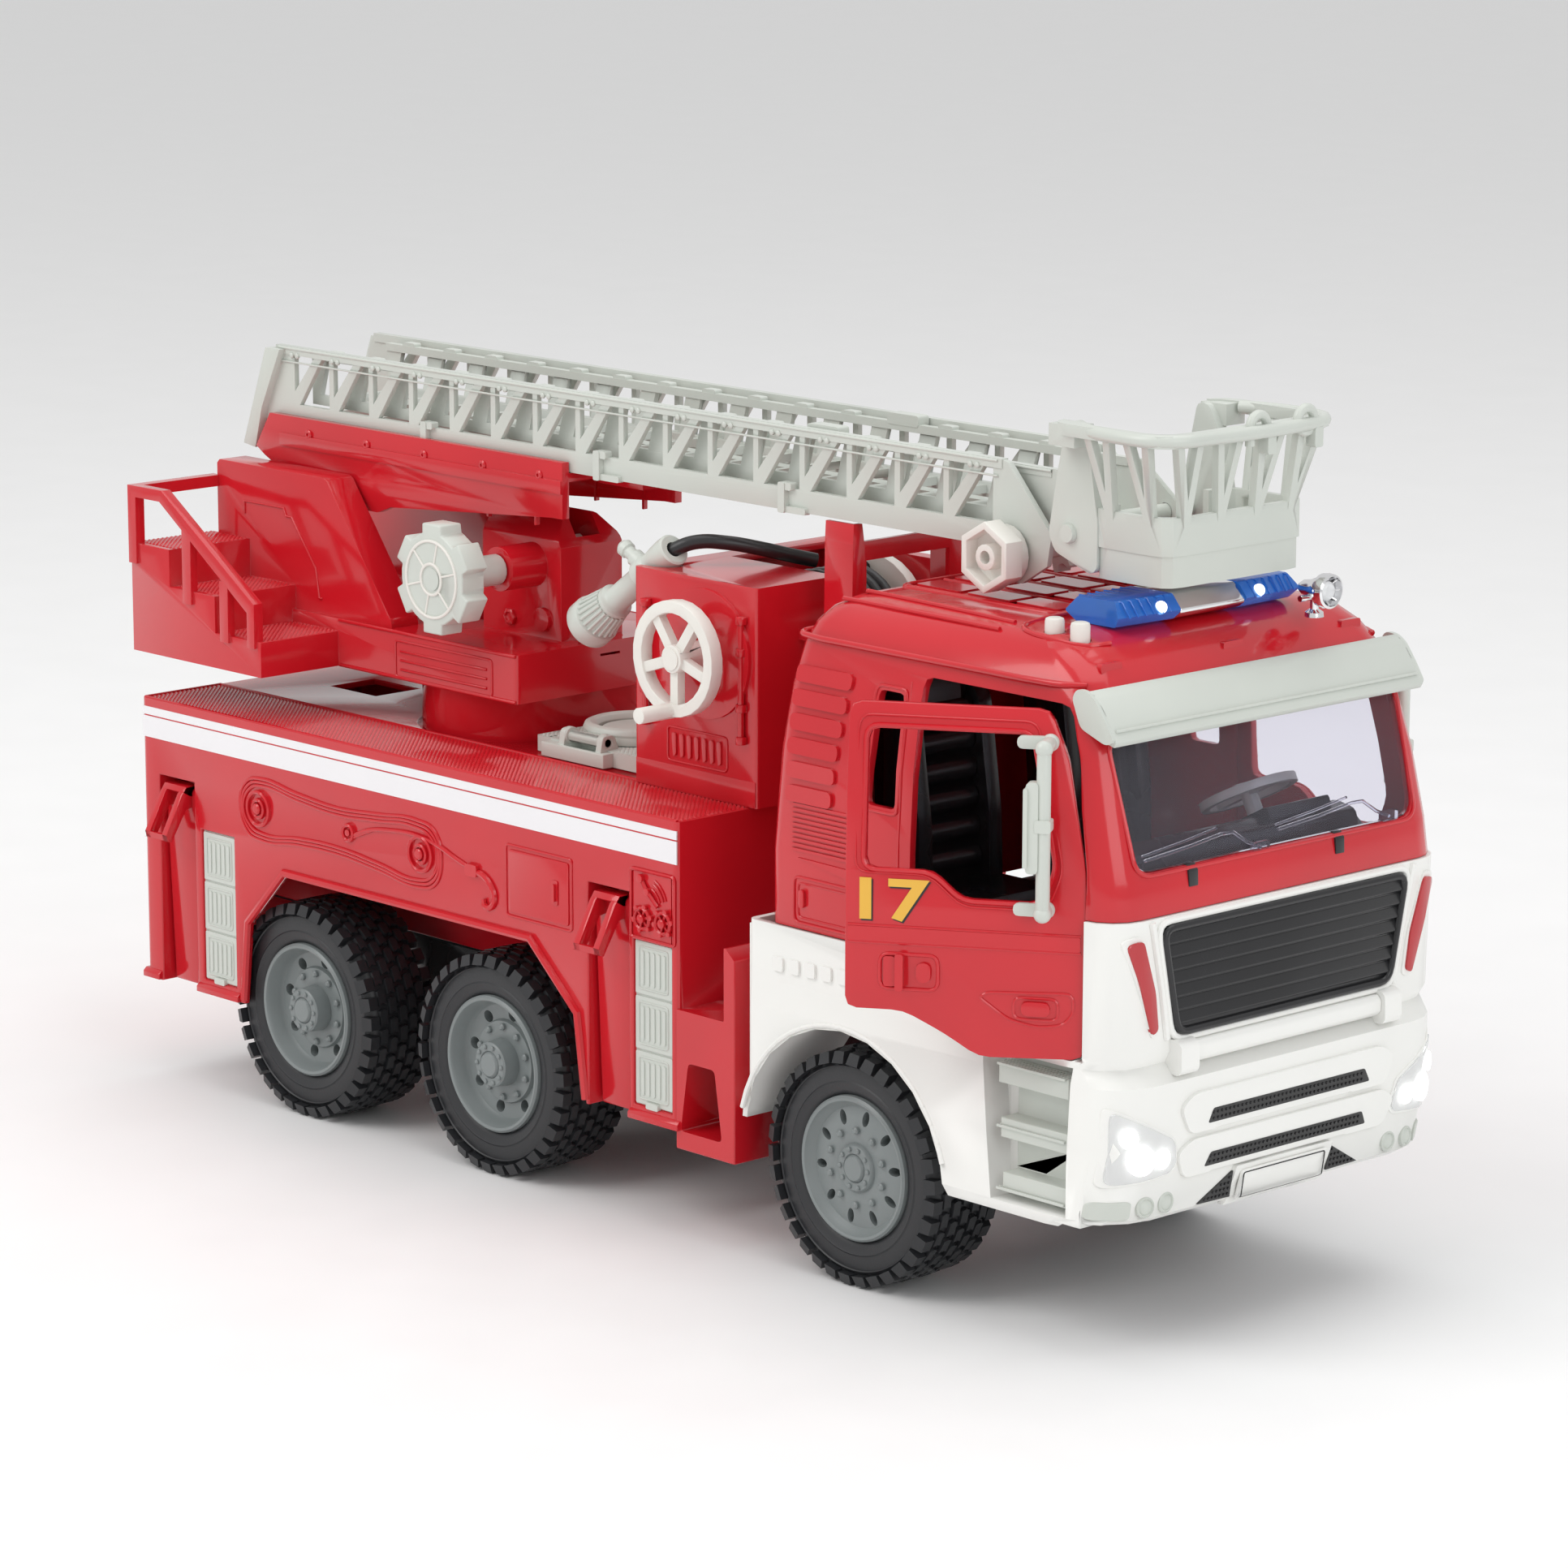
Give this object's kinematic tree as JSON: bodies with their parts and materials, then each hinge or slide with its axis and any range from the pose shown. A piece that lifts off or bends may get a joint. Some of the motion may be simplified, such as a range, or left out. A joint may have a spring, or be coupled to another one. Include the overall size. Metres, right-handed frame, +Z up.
{
  "type": "toy fire engine",
  "caption": "Toy fire engine with a swinging, rising and sliding ladder, rescue basket, crank hose reel, opening doors and fold-out legs.",
  "frame": {"origin": "centre of the base of the bounding box, measured with the right-hand door ajar as stored; the wheels stand at z = 0", "axes": "+X towards the cab, +Y to the driver's left, +Z up; the truck's own centre plane is at y = 0.0174 m because the ajar door widens the box on one side"},
  "size_m": [0.5386, 0.2216, 0.3101],
  "materials": {
    "red_plastic": "moulded high-gloss signal-red plastic",
    "white_plastic": "moulded gloss white plastic",
    "pale_plastic": "satin light grey plastic with a faint green cast",
    "ivory_plastic": "satin off-white plastic",
    "black_plastic": "moulded black plastic",
    "hose_black": "soft black cord, slightly shiny",
    "tyre_rubber": "near-black tread rubber",
    "rim_grey": "satin mid-grey plastic",
    "axle_steel": "plain drawn steel",
    "chrome_trim": "bright metallised plastic",
    "clear_plastic": "clear plastic with a faint violet cast",
    "blue_lens": "translucent blue faceted plastic"
  },
  "bodies": {
    "vehicle": {"chassis_frame": "black_plastic", "rear_body": "red_plastic", "hose_tower": "red_plastic", "cab_shell": "red_plastic", "cab_base": "white_plastic", "front_grille": "black_plastic", "windscreen": "clear_plastic", "sun_visor": "pale_plastic", "cab_interior": "black_plastic", "steering_wheel": "pale_plastic", "light_bar_base": "chrome_trim", "light_left": "blue_lens", "light_right": "blue_lens", "spotlight": "chrome_trim", "hatch_frame": "pale_plastic", "battery_box": "black_plastic", "nozzle": "pale_plastic", "hose_lead": "hose_black", "entry_steps_left": "pale_plastic", "entry_steps_right": "pale_plastic", "rear_left_shutter": "pale_plastic", "rear_right_shutter": "pale_plastic", "front_left_shutter": "pale_plastic", "front_right_shutter": "pale_plastic"},
    "front_wheels": {"front_axle": "axle_steel", "front_left_tyre": "tyre_rubber", "front_left_rim": "rim_grey", "front_right_tyre": "tyre_rubber", "front_right_rim": "rim_grey"},
    "middle_wheels": {"middle_axle": "axle_steel", "middle_left_tyre": "tyre_rubber", "middle_left_rim": "rim_grey", "middle_right_tyre": "tyre_rubber", "middle_right_rim": "rim_grey"},
    "rear_wheels": {"rear_axle": "axle_steel", "rear_left_tyre": "tyre_rubber", "rear_left_rim": "rim_grey", "rear_right_tyre": "tyre_rubber", "rear_right_rim": "rim_grey"},
    "reel": {"hose_reel": "ivory_plastic", "hose_coil": "hose_black"},
    "right_door": {"door_right": "red_plastic", "mirror_right": "pale_plastic"},
    "left_door": {"door_left": "red_plastic", "mirror_left": "pale_plastic"},
    "turntable_body": {"turntable": "red_plastic", "turntable_retainer": "black_plastic"},
    "lift_knob_body": {"lift_knob": "pale_plastic"},
    "ladder": {"ladder_cradle": "red_plastic", "ladder_base": "pale_plastic"},
    "fly": {"ladder_fly": "pale_plastic"},
    "extend_knob_body": {"extend_knob": "ivory_plastic"},
    "basket_body": {"basket": "pale_plastic"},
    "hatch": {"hatch_lid": "pale_plastic"},
    "rear_left_leg": {"rear_left_outrigger": "red_plastic"},
    "rear_right_leg": {"rear_right_outrigger": "red_plastic"},
    "front_left_leg": {"front_left_outrigger": "red_plastic"},
    "front_right_leg": {"front_right_outrigger": "red_plastic"},
    "button_1": {"sound_button_1": "pale_plastic"},
    "button_2": {"sound_button_2": "pale_plastic"}
  },
  "joints": [
    {"name": "front_wheels_roll", "type": "hinge", "parent": "vehicle", "child": "front_wheels", "pos_m": [0.13755, 0.0174, 0.0427], "axis": [0, 1, 0], "continuous": true},
    {"name": "middle_wheels_roll", "type": "hinge", "parent": "vehicle", "child": "middle_wheels", "pos_m": [-0.05825, 0.0174, 0.0427], "axis": [0, 1, 0], "continuous": true},
    {"name": "rear_wheels_roll", "type": "hinge", "parent": "vehicle", "child": "rear_wheels", "pos_m": [-0.17085, 0.0174, 0.0427], "axis": [0, 1, 0], "continuous": true},
    {"name": "reel_crank", "type": "hinge", "parent": "vehicle", "child": "reel", "pos_m": [0.02775, 0.0174, 0.2078], "axis": [0, 1, 0], "continuous": true},
    {"name": "right_door_swing", "type": "hinge", "parent": "vehicle", "child": "right_door", "pos_m": [0.25095, -0.0656, 0.16], "axis": [0, 0, 1], "range_deg": [-33.5, 33]},
    {"name": "left_door_swing", "type": "hinge", "parent": "vehicle", "child": "left_door", "pos_m": [0.25095, 0.1004, 0.16], "axis": [0, 0, -1], "range_deg": [0, 66.5]},
    {"name": "turntable_swing", "type": "hinge", "parent": "vehicle", "child": "turntable_body", "pos_m": [-0.12575, 0.0174, 0.154], "axis": [0, 0, 1], "range_deg": [-100, 100]},
    {"name": "ladder_lift", "type": "hinge", "parent": "turntable_body", "child": "ladder", "pos_m": [-0.20275, 0.0174, 0.24], "axis": [0, -1, 0], "range_deg": [0, 45]},
    {"name": "lift_knob_turn", "type": "hinge", "parent": "turntable_body", "child": "lift_knob_body", "pos_m": [-0.10695, 0.0174, 0.2196], "axis": [0, 1, 0], "range_deg": [-5, 395]},
    {"name": "ladder_extend", "type": "slide", "parent": "ladder", "child": "fly", "axis": [1, 0, 0], "range_m": [0, 0.24]},
    {"name": "extend_knob_turn", "type": "hinge", "parent": "ladder", "child": "extend_knob_body", "pos_m": [0.15925, 0.0174, 0.2584], "axis": [0, 1, 0], "range_deg": [-10, 1700]},
    {"name": "basket_level", "type": "hinge", "parent": "fly", "child": "basket_body", "pos_m": [0.19125, 0.0174, 0.272], "axis": [0, -1, 0], "range_deg": [-50, 5]},
    {"name": "hatch_open", "type": "hinge", "parent": "vehicle", "child": "hatch", "pos_m": [-0.05075, -0.0201, 0.1628], "axis": [1, 0, 0], "range_deg": [0, 65]},
    {"name": "rear_left_leg_drop", "type": "hinge", "parent": "vehicle", "child": "rear_left_leg", "pos_m": [-0.245, 0.0924, 0.044], "axis": [-1, 0, 0], "range_deg": [0, 100]},
    {"name": "rear_right_leg_drop", "type": "hinge", "parent": "vehicle", "child": "rear_right_leg", "pos_m": [-0.245, -0.0576, 0.044], "axis": [1, 0, 0], "range_deg": [0, 100]},
    {"name": "front_left_leg_drop", "type": "hinge", "parent": "vehicle", "child": "front_left_leg", "pos_m": [0.0131, 0.0924, 0.044], "axis": [-1, 0, 0], "range_deg": [0, 100]},
    {"name": "front_right_leg_drop", "type": "hinge", "parent": "vehicle", "child": "front_right_leg", "pos_m": [0.0131, -0.0576, 0.044], "axis": [1, 0, 0], "range_deg": [0, 100]},
    {"name": "sound_button_1_press", "type": "slide", "parent": "vehicle", "child": "button_1", "axis": [0, 0, -1], "range_m": [0, 0.002], "stiffness_N_per_m": 150},
    {"name": "sound_button_2_press", "type": "slide", "parent": "vehicle", "child": "button_2", "axis": [0, 0, -1], "range_m": [0, 0.002], "stiffness_N_per_m": 150}
  ],
  "couplings": [
    {"joint": "lift_knob_turn", "follows": "ladder_lift", "ratio": 8.616},
    {"joint": "extend_knob_turn", "follows": "ladder_extend", "rad_per_m": 122.72},
    {"joint": "basket_level", "follows": "ladder_lift", "ratio": -1}
  ]
}
